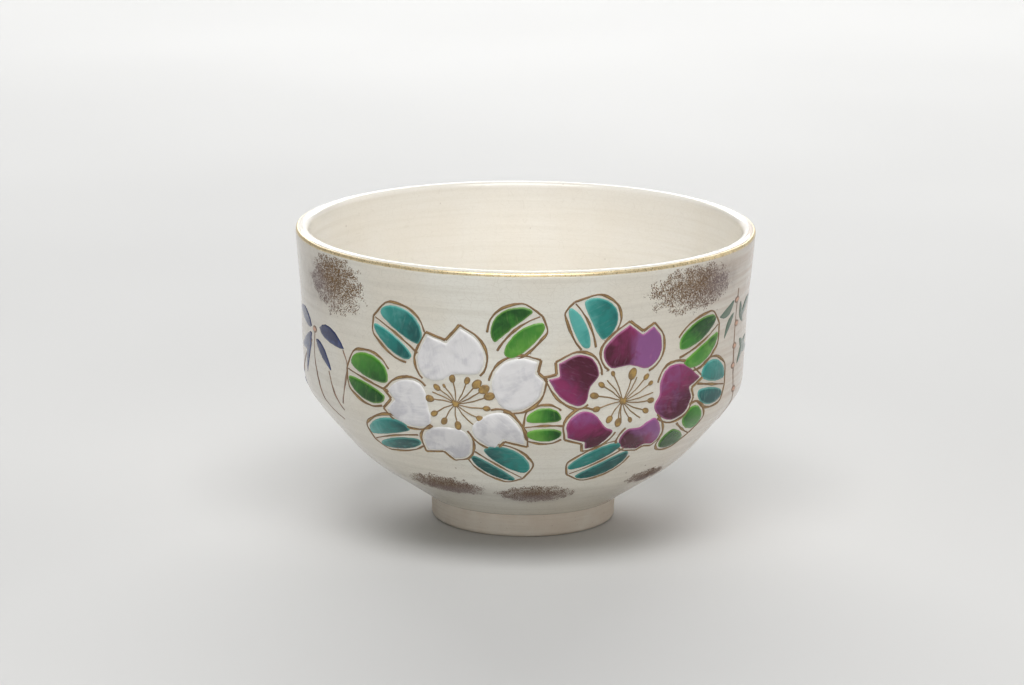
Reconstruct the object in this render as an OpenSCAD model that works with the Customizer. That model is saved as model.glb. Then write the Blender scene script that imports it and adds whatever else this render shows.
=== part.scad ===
// Matcha bowl: a thrown and glazed tea bowl with flowers in overglaze enamel and gold.
// The origin is the middle of the foot where it stands, +Z is up and the painted front faces -Y.
// A place on the wall is given by two lengths: along the girth to the right of the front, and
// up the wall from the foot, both measured over the glaze.

/* [Bowl] */
// Outside diameter at the lip
rim_d = 120; // [110:1:130]
// Height from the table to the top of the lip
bowl_h = 78.2; // [75:0.2:82]
// Outside diameter of the foot ring
foot_d = 48.8; // [44:0.2:54]
// Height of the foot ring
foot_h = 6.2; // [5.4:0.2:7]
// Width of the foot ring, measured out from its hollow
foot_w = 6; // [4:0.5:8]
// Outside radius at the shoulder, where the taper turns into the wall
shoulder_r = 57.4; // [54:0.2:58]
// Height of the shoulder
shoulder_z = 37; // [34:0.5:40]
// Thickness of the pot at the lip
lip_t = 3.4; // [3:0.2:4]
// Thickness of the pot where it meets the foot
heel_t = 6; // [5:0.5:7]

/* [Coats] */
// Thickness of the glaze
glaze_t = 0.4; // [0.3:0.1:0.6]
// How far the enamel stands proud of the glaze
enamel_t = 0.35; // [0.2:0.05:0.5]
// How far the gold stands proud of the glaze
gold_t = 0.15; // [0.1:0.05:0.2]

/* [Painting] */
// Place of the white flower along the girth
white_along = -17.5; // [-22:0.5:-16]
// Place of the white flower up the wall
white_up = 52; // [50:0.5:54]
// Place of the purple flower along the girth
purple_along = 25.3; // [24:0.1:30]
// Place of the purple flower up the wall
purple_up = 52.3; // [50:0.1:54]
// Width of a painted gold line at its middle
line_w = 0.75; // [0.5:0.05:1]
// Gold specks on each square centimetre of a dusted cloud
cloud_density = 18; // [4:1:18]

/* [Hidden] */
$fn = 96;
curve_steps = 3;      // pieces of a curve between two of its points
outline_steps = 4;    // the same on painted outlines, which are small and closely looked at
reach = 6;            // how far a painted outline is pushed through the wall, each way
girth_r = 58;         // radius on which lengths along the girth are measured
line_gap = 0.75;      // from the edge of an enamel field to the middle of its gold line
hollow_z = 5;         // ceiling of the foot's hollow
foot_in_r = foot_d / 2 - foot_w;
foot_edge = 0.8;      // rounding of the foot's two lower edges
rim_r = rim_d / 2;
lip_r = lip_t / 2;
lip_c = [rim_r - lip_r, bowl_h - lip_r];
heel = [foot_d / 2 + 0.4, foot_h];
shoulder = [shoulder_r, shoulder_z];
lip_side = [rim_r, lip_c[1]];

// ---- curves ----

function blend(a, b, c, d, t) =
    0.5 * (2 * b + (c - a) * t + (2 * a - 5 * b + 4 * c - d) * t * t
           + (3 * b - a - 3 * c + d) * t * t * t);

// A smooth open curve through the points
function curve(p, steps) =
    let (last = len(p) - 1)
    concat(
        [for (i = [0 : last - 1], k = [0 : steps - 1])
            blend(i > 0 ? p[i - 1] : 2 * p[0] - p[1], p[i], p[i + 1],
                  i < last - 1 ? p[i + 2] : 2 * p[last] - p[last - 1], k / steps)],
        [p[last]]);

// Unit vector to the right of the way a curve runs, at its point i
function right_of(p, i) =
    let (d = p[min(i + 1, len(p) - 1)] - p[max(i - 1, 0)])
    [d[1], -d[0]] / norm(d);

function reversed(p) = [for (i = [len(p) - 1 : -1 : 0]) p[i]];

function arc(c, r, from, to, steps) =
    [for (k = [0 : steps]) let (a = from + (to - from) * k / steps) c + r * [cos(a), sin(a)]];

// A share [out, up] of the way between two points
function share(a, b, f) = [a[0] + (b[0] - a[0]) * f[0], a[1] + (b[1] - a[1]) * f[1]];

// ---- section of the pot, as [radius, height] ----

taper_keys = [[0, 0], [0.27, 0.19], [0.53, 0.385], [0.75, 0.64], [0.93, 0.875], [1, 1]];
upper_keys = [[0.2, 0.12], [0.4, 0.33], [0.44, 0.54], [0.72, 0.77], [1, 1]];
wall = curve(concat([for (f = taper_keys) share(heel, shoulder, f)],
                    [for (f = upper_keys) share(shoulder, lip_side, f)]), curve_steps);
wall_end = len(wall) - 1;

// The wall's face at a depth under the glaze's surface, or outside it where depth is negative
function wall_face(depth) = [for (i = [0 : wall_end]) wall[i] - depth * right_of(wall, i)];

// The inside face: the pot thins from the heel to the lip, and a shallow well closes the middle
function pot_t(i) = heel_t + (lip_t - heel_t) * pow(i / wall_end, 0.7);
inner_wall = [for (i = [0 : wall_end - 1]) wall[i] - pot_t(i) * right_of(wall, i)];
well_z = inner_wall[0][1] - 0.6;
well_r = inner_wall[0][0];
inner_face = concat([[0, well_z], [well_r * 0.35, well_z + 0.05], [well_r * 0.7, well_z + 0.22]],
                    inner_wall, [lip_c - [lip_r, 0]]);
function inner_depth(depth) =
    [for (i = [0 : len(inner_face) - 1])
        i == 0 ? inner_face[0] - [0, depth] : inner_face[i] + depth * right_of(inner_face, i)];

// ---- places on the wall ----

wall_step = [for (i = [1 : wall_end]) norm(wall[i] - wall[i - 1])];
function sum_to(v, n) = n == 0 ? 0 : v[n - 1] + sum_to(v, n - 1);
wall_up = [for (i = [0 : wall_end]) sum_to(wall_step, i)];
r_table = [for (i = [0 : wall_end]) [wall_up[i], wall[i][0]]];
z_table = [for (i = [0 : wall_end]) [wall_up[i], wall[i][1]]];

// Puts its children on the plane that touches the wall at a place, +Y up the wall and +Z outwards
module on_wall(along, up) {
    r = lookup(up, r_table);
    z = lookup(up, z_table);
    lean = atan2(lookup(up + 1, r_table) - lookup(up - 1, r_table),
                 lookup(up + 1, z_table) - lookup(up - 1, z_table));
    rotate([0, 0, along / girth_r * 180 / PI])
        translate([0, -r, z])
            rotate([90 + lean, 0, 0])
                children();
}

// A coat of even thickness over the whole wall
module coat(thickness) {
    rotate_extrude()
        polygon(concat(wall, reversed(wall_face(-thickness))));
}

// Lays a flat outline on the wall as a coat of even thickness
module painted(along, up, thickness) {
    intersection() {
        coat(thickness);
        on_wall(along, up)
            translate([0, 0, -reach])
                linear_extrude(2 * reach)
                    children();
    }
}

// ---- painted outlines ----

// A brush stroke along the points: thin where it starts and ends, uneven between, and fading
// by a share of its width as the brush runs dry
function stroke_w(w, t, beat, fade) =
    w * (1 - fade * t) * (0.62 + 0.38 * sin(180 * t) + 0.22 * sin(360 * beat * t + 40 * beat));
function stroke(p, w, beat, fade) =
    let (last = len(p) - 1, half = [for (i = [0 : last]) stroke_w(w, i / last, beat, fade) / 2])
    concat([for (i = [0 : last]) p[i] + right_of(p, i) * half[i]],
           [for (i = [last : -1 : 0]) p[i] - right_of(p, i) * half[i]]);

module brush(p, w, beat = 2, fade = 0) {
    polygon(stroke(p, w, beat, fade));
}

// A line's points moved out by a gap, to the right of the way that it runs
function outside(p, gap) = [for (i = [0 : len(p) - 1]) p[i] + gap * right_of(p, i)];

// Corner of such a line where it passes the sharp corner b on its way from a to c
function mitred(a, b, c, gap) =
    let (before = right_of([a, b], 0), after = right_of([b, c], 0))
    b + gap * (before + after) / max(0.6, 1 + before * after);

// A petal's smooth edge: from the point left of its nick down that side, round the base and up to
// the point right of the nick. The nick between the two points is sharp.
function petal_edge(petal) = curve(concat(petal[1], petal[2], petal[3]), outline_steps);

module petal_field(petal) {
    polygon(concat(petal_edge(petal), [petal[4]]));
}

// The petal's gold line leaves the base open, as the brush was lifted there
module petal_line(petal) {
    edge = petal_edge(petal);
    line = outside(edge, line_gap);
    last = len(edge) - 1;
    nick = petal[4];
    left_end = (len(petal[1]) - 1) * outline_steps;
    right_start = (len(petal[1]) + len(petal[2])) * outline_steps;
    left_tip = mitred(nick, edge[0], edge[1], line_gap);
    right_tip = mitred(edge[last - 1], edge[last], nick, line_gap);
    nick_corner = mitred(edge[last], nick, edge[0], line_gap);
    brush(concat([left_tip], [for (i = [1 : left_end]) line[i]]), line_w, 3);
    brush(concat([for (i = [right_start : last - 1]) line[i]], [right_tip]), line_w, 2);
    brush([left_tip, nick_corner], line_w * 1.4, 1);
    brush([nick_corner, right_tip], line_w * 1.4, 1);
}

// A leaf is two lobes of enamel beside a bare vein: each nearly straight along the vein, round
// outside, fullest towards the leaf's base, and rounded off where those two edges meet. side is 1
// for the lobe on the right and -1 for the left. t runs along the vein, 0 at the base and 1 at the
// tip, and lobe_meet is how far from the vein a lobe's edges meet, as a share of its width.
leaf_gap = 1.5;
lobe_meet = 0.3;
function vein(l, bow, t) = [bow * 4 * t * (1 - t), t * l];
function beside_vein(l, bow, t, side, out) = vein(l, bow, t) + [side * (leaf_gap / 2 + out), 0];
function lobe_edge(l, w, side, bow) =
    [for (a = [0 : 15 : 180])
        let (t = (1 - cos(a)) / 2, belly = pow(sin(180 * pow(1 - t, 1.15)), 0.42))
        beside_vein(l, bow, t, side, w * (lobe_meet + (1 - lobe_meet) * belly))];
function lobe_inner_edge(l, w, side, bow) =
    [for (a = [165 : -15 : 15])
        let (t = (1 - cos(a)) / 2)
        beside_vein(l, bow, t, side, w * lobe_meet * (1 - pow(sin(180 * t), 0.36)))];

module leaf_field(l, w, bow) {
    for (k = [0, 1])
        let (side = 2 * k - 1)
            polygon(concat(lobe_edge(l, w[k], side, bow), lobe_inner_edge(l, w[k], side, bow)));
}

// A gold line round each lobe's outside, both meeting past the tip, and one along the vein
module leaf_line(l, w, bow) {
    tip = vein(l, bow, 1.08);
    for (k = [0, 1])
        let (side = 2 * k - 1, line = outside(lobe_edge(l, w[k], side, bow), side * line_gap))
            brush(curve(concat([for (i = [2 : 2 : 10]) line[i]], [tip]), outline_steps), line_w, 2 + k);
    brush([for (t = [-0.06 : 0.11 : 1.04]) vein(l, bow, t)], line_w * 1.15, 2, 0.4);
}

// Stamen: a thin thread from the middle of the flower, and a dab of gold at its end
module stamen(turn, l, dab) {
    rotate(turn - 90) {
        brush([[0.15, 0.5], [0.35, l / 2], [0, l]], line_w * 0.52, 1, -0.3);
        if (dab > 0)
            translate([0, l])
                scale([1, 1.35])
                    circle(d = dab, $fn = 14);
    }
}

// Bamboo leaf: a pointed blade that bows to one side
module blade(l, w, bow) {
    edge = [for (t = [0 : 0.125 : 1]) [bow * sin(180 * t), t * l]];
    half = [for (t = [0 : 0.125 : 1]) w / 2 * pow(sin(180 * pow(t, 0.8)), 0.8)];
    last = len(edge) - 1;
    polygon(concat([for (i = [0 : last]) edge[i] + [half[i], 0]],
                   [for (i = [last - 1 : -1 : 1]) edge[i] - [half[i], 0]]));
}

// ---- the painting ----
// Petals: name, points down the left side, points along the base, points up the right side, and the
// nick. Each place is [along, up] from the flower's middle.
white_petals = [
    ["white_petal_top", [[-7.5, 17], [-10.4, 11], [-8.4, 6.3]], [[-4, 5.8], [-0.2, 7.7]],
        [[5.9, 8.3], [7.4, 12.8], [5.4, 17], [1.4, 19.6]], [-2.3, 15.4]],
    ["white_petal_right", [[20.6, 11.6], [16, 12.6], [11.4, 10.6], [9.2, 6.4]], [[10, 2.4]],
        [[12.4, -0.6], [17, -0.6], [21, 2.4], [22.2, 6.6]], [20, 8.6]],
    ["white_petal_low_right", [[17.2, -11.2], [17, -7], [13.4, -2.4], [9.2, -2]], [[4.6, -5]],
        [[4.6, -8.4], [7.2, -11.6], [9.8, -12.6]], [11.9, -9.2]],
    ["white_petal_bottom", [[-2.8, -18.4], [0.8, -17], [2.9, -12], [2.2, -7.6]], [[-1.8, -6.4]],
        [[-6.4, -7], [-9.6, -10.4], [-9.8, -16.2]], [-5, -15]],
    ["white_petal_left", [[-19.8, -3.6], [-16.6, -6.2], [-12, -7.4], [-7, -6]], [[-7.4, -1.4]],
        [[-8.6, 3.4], [-12, 5], [-16.4, 4], [-19.5, 1.4]], [-17.2, -0.8]],
];
purple_petals = [
    ["purple_petal_top", [[1.2, 19.8], [-3.4, 16.6], [-5.7, 13], [-3.6, 9]], [[1.8, 9.2]],
        [[7.2, 7.9], [10.9, 11], [11, 15.4], [8.4, 18.6]], [5.2, 16.8]],
    ["purple_petal_right", [[25.6, 2.6], [19, 7.3], [13.4, 7.2], [11, 3.4]], [[11, 0.4], [9.4, -2.4]],
        [[11.2, -5.2], [15.6, -7.1], [20.2, -5.6], [22.4, -2]], [21.4, 0.8]],
    ["purple_petal_low_right", [[12.1, -15.2], [13.4, -12.4], [12.4, -8.6], [10.2, -5.6]],
        [[7.6, -6.2], [5.4, -7.6]], [[2, -8], [0.9, -11.6], [3.2, -15], [7.8, -16]], [9.4, -14.6]],
    ["purple_petal_low_left", [[-8.7, -13.8], [-5.4, -12.8], [-2.2, -8.2]], [[-4.4, -6.4]],
        [[-7.4, -2.8], [-11.2, -2], [-14.6, -5], [-14, -9.4]], [-9.2, -11.2]],
    ["purple_petal_left", [[-19.6, 6.8], [-16.8, 2.4], [-12.8, -0.2], [-9.8, 0.4]], [[-8.8, 4.4]],
        [[-6.5, 7.4], [-8.2, 11.6], [-12.4, 12.9], [-17, 10.8]], [-16.7, 7.4]],
];

// Leaves: name, the vein's [along, up] at the base and at the tip, width of the lobes [left, right]
// of the vein, and how far the vein bows to the right
green_leaves = [
    ["green_leaf_left", [-37.2, 53.2], [-50.2, 56.4], [4.7, 6.5], 0],
    ["green_leaf_top", [-6.6, 67], [3.2, 75.2], [5.0, 5.1], -1.1],
    ["green_leaf_middle", [9.4, 46.9], [0.4, 46.6], [4.2, 4.0], 0.3],
    ["green_leaf_upper_right", [43.3, 61.6], [57.5, 67.2], [5.8, 4.6], 0.5],
    ["green_leaf_low_right", [43.9, 43.4], [51.5, 38.2], [6.6, 6.8], 0.2],
];
teal_leaves = [
    ["teal_leaf_upper_left", [-28.3, 64.6], [-39.8, 71.6], [4.1, 6.7], 0.4],
    ["teal_leaf_low_left", [-30.4, 41.2], [-45.2, 36.4], [4.4, 5.4], 0.8],
    ["teal_leaf_top", [17.6, 67.6], [12.4, 78.2], [3.6, 7.2], 0.8],
    ["teal_leaf_bottom", [-12.6, 36.6], [-2.6, 26.8], [7.2, 4.0], 0],
    ["teal_leaf_low_middle", [28.4, 37.2], [16.3, 27.9], [5.4, 5.2], -0.3],
    ["teal_leaf_right", [50.6, 53.2], [62.6, 50.8], [5.8, 4.6], 0],
];

// Stamens: way out, length and size of the dab
white_stamens = [
    [97, 6.6, 1.7], [64, 7.0, 1.6], [45, 7.8, 2.2], [30, 8.5, 2.3], [16, 9.0, 2.2],
    [-5, 8.0, 1.5], [-29, 7.2, 1.7], [-49, 6.8, 0], [-85, 5.7, 1.9], [237, 5.7, 1.7],
    [208, 6.5, 1.6], [174, 7.0, 1.9], [158, 6.8, 0], [142, 6.3, 1.6], [124, 5.4, 0.9],
];
purple_stamens = [
    [111, 8.0, 1.2], [69, 7.4, 2.4], [56, 7.2, 0], [40, 8.8, 1.5], [25, 9.0, 1.2], [8, 9.2, 0],
    [-5, 8.4, 1.6], [-25, 7.6, 1.5], [-43, 7.4, 0], [-65, 5.6, 1.3], [-91, 5.8, 0], [260, 5.6, 1.9],
    [232, 5.6, 1.7], [192, 7.2, 1.6], [165, 8.0, 1.8], [141, 7.6, 1.5], [127, 7.4, 0],
];

// Bamboo leaves: along and up to the joint, way that the leaf points, length, width, bow
left_blades = [
    [-65, 64.3, -14, 13.5, 4.2, -0.9], [-67.3, 61, -38, 11.4, 3.2, -0.5],
    [-70.5, 60.5, 238, 13, 3.2, 0.8], [-70, 63.5, 172, 15, 4.0, 1.0], [-70, 62, 205, 14, 3.4, -1.0],
    [-84, 47, 245, 12, 3.2, 0.8], [-86, 49, 196, 15, 3.6, -1.0],
];
right_blades = [
    [66.5, 72.2, 200, 9, 2.8, -1.0], [67.2, 68.8, 228, 8.4, 2.4, 0.6], [71.5, 71, -55, 8, 2.8, 0.8],
    [73, 66, 20, 12, 3.2, -1.0], [73, 60.5, -20, 13, 3.2, 1.0], [72, 54, 30, 12, 3.0, -0.8],
];

// Stems: points along the stem, as [along, up]
left_stems = [
    [[-68, 63], [-68.5, 55], [-65, 47], [-58, 41]],
    [[-52.8, 61], [-51, 57], [-52.6, 51.5], [-54, 46.5]],
    [[-60, 54], [-58, 49], [-54, 44.5]],
    [[-70, 60], [-78, 54], [-86, 49], [-95, 46]],
];
right_stems = [
    [[68.5, 75], [68.8, 66], [68.9, 57], [70.7, 47], [74, 38]],
];
left_joints = [[-68, 63.2], [-84.6, 49.4]];
right_joints = [[68.2, 72], [69.8, 65.4], [69.2, 59.5], [69, 54.3], [70.7, 47.7]];

// Dusted clouds: name, middle [along, up], half lengths [along, up], seed
clouds = [
    ["gold_dust_upper_left", [-54.5, 76.4], [12.4, 7.9], 11],
    ["gold_dust_upper_right", [45, 78], [16, 6.8], 23],
    ["gold_dust_low_left", [-30, 19.5], [16, 5], 37],
    ["gold_dust_low_middle", [4.5, 16.5], [16, 5.6], 41],
    ["gold_dust_low_right", [48, 21], [10, 3.5], 59],
];

glaze_colour = "#e9e2d2";
clay_colour = "#cdb9a4";
gold_colour = "#a9803a";

// A flower's petal, painted square to the wall at the petal's own middle
module petal_place(flower, petal, thickness) {
    edge = concat(petal[1], petal[2], petal[3]);
    middle = [for (p = edge) 1 / len(edge)] * edge;
    painted(flower[0] + middle[0], flower[1] + middle[1], thickness)
        translate(-middle)
            children();
}

function leaf_l(leaf) = norm(leaf[2] - leaf[1]);

module leaf_place(leaf, thickness) {
    way = leaf[2] - leaf[1];
    middle = (leaf[1] + leaf[2]) / 2;
    painted(middle[0], middle[1], thickness)
        rotate(atan2(way[1], way[0]) - 90)
            translate([0, -leaf_l(leaf) / 2])
                children();
}

module enamel_petal(flower, petal, colour) {
    color(colour)
        petal_place(flower, petal, enamel_t)
            petal_field(petal);
}

module petal_outlines(flower, petals) {
    color(gold_colour)
        for (p = petals)
            petal_place(flower, p, gold_t)
                petal_line(p);
}

module flower_stamens(flower, stamens) {
    color(gold_colour)
        painted(flower[0], flower[1], gold_t) {
            circle(r = 0.85, $fn = 16);
            for (s = stamens)
                stamen(s[0], s[1], s[2]);
        }
}

module enamel_leaf(leaf, colour) {
    color(colour)
        leaf_place(leaf, enamel_t)
            leaf_field(leaf_l(leaf), leaf[3], leaf[4]);
}

module leaf_outlines(leaves) {
    color(gold_colour)
        for (leaf = leaves)
            leaf_place(leaf, gold_t)
                leaf_line(leaf_l(leaf), leaf[3], leaf[4]);
}

module bamboo_leaves(blades, colour) {
    color(colour)
        for (b = blades)
            painted(b[0], b[1], enamel_t)
                rotate(b[2] - 90)
                    blade(b[3], b[4], b[5]);
}

module bamboo_stems(stems, joints) {
    color("#8a6a50") {
        for (s = stems)
            painted(s[1][0], s[1][1], gold_t)
                brush(curve([for (p = s) p - s[1]], outline_steps), line_w);
        for (j = joints)
            painted(j[0], j[1], gold_t)
                scale([1.3, 0.8])
                    circle(d = 2.4, $fn = 14);
    }
}

// Specks of gold strewn over a cloud, each a golden angle round from the last so that none touch
module gold_dust(cloud) {
    half = cloud[2];
    specks = round(cloud_density * PI * half[0] * half[1] / 100);
    sizes = rands(0.6, 1.1, specks, cloud[3]);
    color(gold_colour)
        for (i = [0 : specks - 1])
            let (spread = sqrt((i + 0.5) / specks), a = i * 137.508 + cloud[3])
                on_wall(cloud[1][0] + half[0] * spread * cos(a), cloud[1][1] + half[1] * spread * sin(a))
                    cylinder(h = gold_t, d = sizes[i]);
}

// ---- the pot ----

module clay_body() {
    color(clay_colour)
        rotate_extrude()
            polygon(concat([[0, hollow_z], [foot_in_r, hollow_z]],
                           [[foot_in_r, foot_h], [foot_d / 2, foot_h]], wall_face(glaze_t),
                           arc(lip_c, lip_r - glaze_t, 15, 165, 10),
                           reversed(inner_depth(glaze_t))));
}

module foot_ring() {
    out = foot_d / 2;
    color(clay_colour)
        rotate_extrude()
            polygon(concat([[foot_in_r, foot_h]],
                           arc([foot_in_r + 0.4 + foot_edge, foot_edge], foot_edge, 180, 270, 4),
                           arc([out - 0.3 - foot_edge, foot_edge], foot_edge, 270, 360, 4),
                           [[out, foot_h]]));
}

// The outer coat runs up to the crest of the lip, where the inner coat meets it
module outer_glaze() {
    color(glaze_colour)
        rotate_extrude()
            polygon(concat(wall, arc(lip_c, lip_r, 10, 90, 6), arc(lip_c, lip_r - glaze_t, 90, 15, 5),
                           reversed(wall_face(glaze_t))));
}

module inner_glaze() {
    color(glaze_colour)
        rotate_extrude()
            polygon(concat(inner_face, arc(lip_c, lip_r, 170, 90, 6),
                           arc(lip_c, lip_r - glaze_t, 90, 165, 5), reversed(inner_depth(glaze_t))));
}

module rim_gold_band() {
    color(gold_colour)
        rotate_extrude()
            polygon(concat(arc(lip_c, lip_r, 5, 55, 8), arc(lip_c, lip_r + gold_t, 55, 5, 8)));
}

white_flower = [white_along, white_up];
purple_flower = [purple_along, purple_up];

clay_body();
foot_ring();
outer_glaze();
inner_glaze();
rim_gold_band();
for (p = white_petals)
    enamel_petal(white_flower, p, "#dcdbe0");
petal_outlines(white_flower, white_petals);  // white_flower_outline
flower_stamens(white_flower, white_stamens);  // white_flower_stamens
for (p = purple_petals)
    enamel_petal(purple_flower, p, "#7d2358");
petal_outlines(purple_flower, purple_petals);  // purple_flower_outline
flower_stamens(purple_flower, purple_stamens);  // purple_flower_stamens
for (leaf = green_leaves)
    enamel_leaf(leaf, "#3f7f32");
leaf_outlines(green_leaves);  // green_leaf_outlines
for (leaf = teal_leaves)
    enamel_leaf(leaf, "#2d877d");
leaf_outlines(teal_leaves);  // teal_leaf_outlines
bamboo_leaves(left_blades, "#3c4b73");  // blue_bamboo_leaves
bamboo_stems(left_stems, left_joints);  // blue_bamboo_stems
bamboo_leaves(right_blades, "#6e7d6e");  // grey_bamboo_leaves
bamboo_stems(right_stems, right_joints);  // grey_bamboo_stem
for (c = clouds)
    gold_dust(c);
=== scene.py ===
import math
import random

import bmesh
import bpy
import numpy as np
from mathutils import Matrix, Vector, noise
from mathutils.bvhtree import BVHTree
from mathutils.geometry import delaunay_2d_cdt


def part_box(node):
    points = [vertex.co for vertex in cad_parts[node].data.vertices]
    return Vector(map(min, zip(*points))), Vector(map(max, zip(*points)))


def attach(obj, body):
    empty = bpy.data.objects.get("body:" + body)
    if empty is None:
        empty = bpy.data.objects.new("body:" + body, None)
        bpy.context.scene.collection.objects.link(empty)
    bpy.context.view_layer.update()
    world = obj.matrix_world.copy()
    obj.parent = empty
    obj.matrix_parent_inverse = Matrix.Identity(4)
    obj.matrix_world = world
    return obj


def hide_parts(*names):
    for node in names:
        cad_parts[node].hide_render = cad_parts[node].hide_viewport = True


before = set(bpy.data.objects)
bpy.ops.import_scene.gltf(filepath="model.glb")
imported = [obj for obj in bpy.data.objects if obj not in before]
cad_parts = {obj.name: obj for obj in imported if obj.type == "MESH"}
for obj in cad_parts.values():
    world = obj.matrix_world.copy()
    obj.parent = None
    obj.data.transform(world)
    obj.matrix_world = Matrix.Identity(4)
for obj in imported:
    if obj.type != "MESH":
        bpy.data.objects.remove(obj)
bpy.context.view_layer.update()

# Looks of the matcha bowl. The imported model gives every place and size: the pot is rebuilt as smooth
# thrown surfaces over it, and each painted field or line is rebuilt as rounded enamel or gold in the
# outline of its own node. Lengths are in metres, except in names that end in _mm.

MM = 0.001
TURN = 2 * math.pi

# ---------------------------------------------------------------- the pot's section


def vertices_of(name):
    """A node's corners in the row frame."""
    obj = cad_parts[name]
    return np.array([tuple(obj.matrix_world @ v.co) for v in obj.data.vertices])


def triangles_of(name):
    """A node's triangles, as corner numbers."""
    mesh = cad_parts[name].data
    mesh.calc_loop_triangles()
    return np.array([tuple(t.vertices) for t in mesh.loop_triangles])


def rays_at(name):
    """A function that casts a ray at a node and gives where it hits."""
    corners = [Vector(v) for v in vertices_of(name)]
    tree = BVHTree.FromPolygons(corners, [tuple(t) for t in triangles_of(name)])

    def cast(start, way):
        hit = tree.ray_cast(Vector(start), Vector(way))[0]
        return hit.x, hit.z

    return cast


def evened(points, step):
    """Points at even steps along a line of [radius, height] points."""
    length = np.concatenate([[0], np.cumsum(np.hypot(*np.diff(points, axis=0).T))])
    count = max(2, round(length[-1] / step) + 1)
    at = np.linspace(0, length[-1], count)
    return np.stack([np.interp(at, length, points[:, k]) for k in (0, 1)], 1)


def smoothed(points, step, width):
    """Even points with their corners softened over a width, and both ends kept."""
    points = evened(points, step)
    reach = round(3 * width / step)
    weights = np.exp(-0.5 * (np.arange(-reach, reach + 1) * step / width) ** 2)
    weights /= weights.sum()
    before = 2 * points[0] - points[reach:0:-1]
    after = 2 * points[-1] - points[-2:-reach - 2:-1]
    padded = np.concatenate([before, points, after])
    soft = np.stack([np.convolve(padded[:, k], weights, "valid") for k in (0, 1)], 1)
    soft[0], soft[-1] = points[0], points[-1]
    return soft


def across(points):
    """Unit vectors square to a line of points, on its right."""
    way = np.gradient(points, axis=0)
    way /= np.linalg.norm(way, axis=1)[:, None]
    return np.stack([way[:, 1], -way[:, 0]], 1)


def arc(centre, radius, start_deg, end_deg, count):
    """Points round part of a circle in the section."""
    turn = np.radians(np.linspace(start_deg, end_deg, count))
    return np.array(centre) + radius * np.stack([np.cos(turn), np.sin(turn)], 1)


outer = vertices_of("outer_glaze")
outer_r = np.hypot(outer[:, 0], outer[:, 1])
TOP = outer[:, 2].max()
CREST_R = outer_r[outer[:, 2] > TOP - 0.01 * MM].max()
LIP_R = outer_r.max() - CREST_R
LIP = (CREST_R, TOP - LIP_R)
GLAZE_T = 0.4 * MM
STEP = 0.45 * MM

cast_outside = rays_at("outer_glaze")
wall_low = outer[:, 2].min() + 0.02 * MM
wall = smoothed(
    np.array([cast_outside((0.2, 0, z), (-1, 0, 0)) for z in np.linspace(wall_low, LIP[1], 120)]),
    STEP, 1.1 * MM)
wall_side = across(wall)
wall_s = np.concatenate([[0], np.cumsum(np.hypot(*np.diff(wall, axis=0).T))])
GIRTH_R = float(np.interp(0.6 * TOP, wall[:, 1], wall[:, 0]))

# The floor inside is traced from above out to this radius, and the inside wall from the axis
WELL_R = 26 * MM
cast_inside = rays_at("inner_glaze")
well = [cast_inside((r, 0, 0.1), (0, 0, -1)) for r in np.linspace(0.0001, WELL_R, 24)]
inside_low = well[-1][1] + 1 * MM
inner_wall = [cast_inside((0, 0, z), (1, 0, 0)) for z in np.linspace(inside_low, LIP[1], 90)]
inside = smoothed(np.array(well + inner_wall), 0.6 * MM, 1.6 * MM)
inside_side = across(inside)

# ---------------------------------------------------------------- hand work


def thrown(points):
    """Moves points inwards by the small unevenness that throwing by hand leaves in the whole pot."""
    x, y, z = points.T
    turn = np.arctan2(x, -y)
    radius = np.hypot(x, y)
    height = z / TOP
    oval = 0.10 * (1 + np.sin(2 * turn + 0.5)) * height
    waist = 0.22 * (1 + np.sin(turn)) * np.exp(-((height - 0.62) / 0.16) ** 2)
    spiral = z / (2.9 * MM) + turn / TURN
    ridge = 0.5 + 0.5 * np.sin(TURN * spiral + 1.3 * np.sin(3 * turn + z / (9 * MM)))
    fade = np.clip((z - 8 * MM) / (10 * MM), 0, 1)
    ridge_depth = 0.022 * fade * (1 + 0.5 * np.sin(5 * turn + z / (6 * MM)))
    inwards = (oval + waist + ridge * ridge_depth) * MM
    factor = np.where(radius > MM, (radius - inwards) / np.maximum(radius, MM), 1)
    return np.stack([x * factor, y * factor, z], 1)


def finish_piece(name, points, faces, material, node_name, smooth=True):
    """Makes the object, lets it ride with the pot and stand for its node."""
    mesh = bpy.data.meshes.new(name)
    mesh.from_pydata([tuple(p) for p in points], [], faces)
    mesh.validate()
    if smooth:
        mesh.shade_smooth()
    mesh.materials.append(material)
    obj = bpy.data.objects.new(name, mesh)
    bpy.context.scene.collection.objects.link(obj)
    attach(obj, "root")
    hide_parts(node_name)
    return obj


def turned(name, section, around, material, node_name, shift=None):
    """A closed ring, or a closed pot where the section starts and ends on the axis.
    shift gives each point of the section its own [radius, height] change at each turn."""
    turns = np.linspace(0, TURN, around, endpoint=False)
    rings = [section if shift is None else section + shift(t) for t in turns]
    grid = np.array([[(r * math.sin(t), -r * math.cos(t), z) for r, z in ring]
                     for t, ring in zip(turns, rings)])
    rows = len(section)
    points = thrown(grid.reshape(-1, 3))
    on_axis = section[0][0] < 1e-6
    faces = []
    for k in range(around):
        a = k * rows
        b = (k + 1) % around * rows
        for i in range(rows - 1):
            faces.append((a + i, b + i, b + i + 1, a + i + 1))
        if not on_axis:
            faces.append((a + rows - 1, b + rows - 1, b, a))
    obj = finish_piece(name, points, faces, material, node_name)
    weld(obj)
    return obj


def weld(obj):
    """Joins corners that lie on each other, such as those on the axis, and turns faces outwards."""
    bm = bmesh.new()
    bm.from_mesh(obj.data)
    bmesh.ops.remove_doubles(bm, verts=bm.verts, dist=1e-7)
    bmesh.ops.recalc_face_normals(bm, faces=bm.faces)
    bm.to_mesh(obj.data)
    bm.free()


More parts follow.
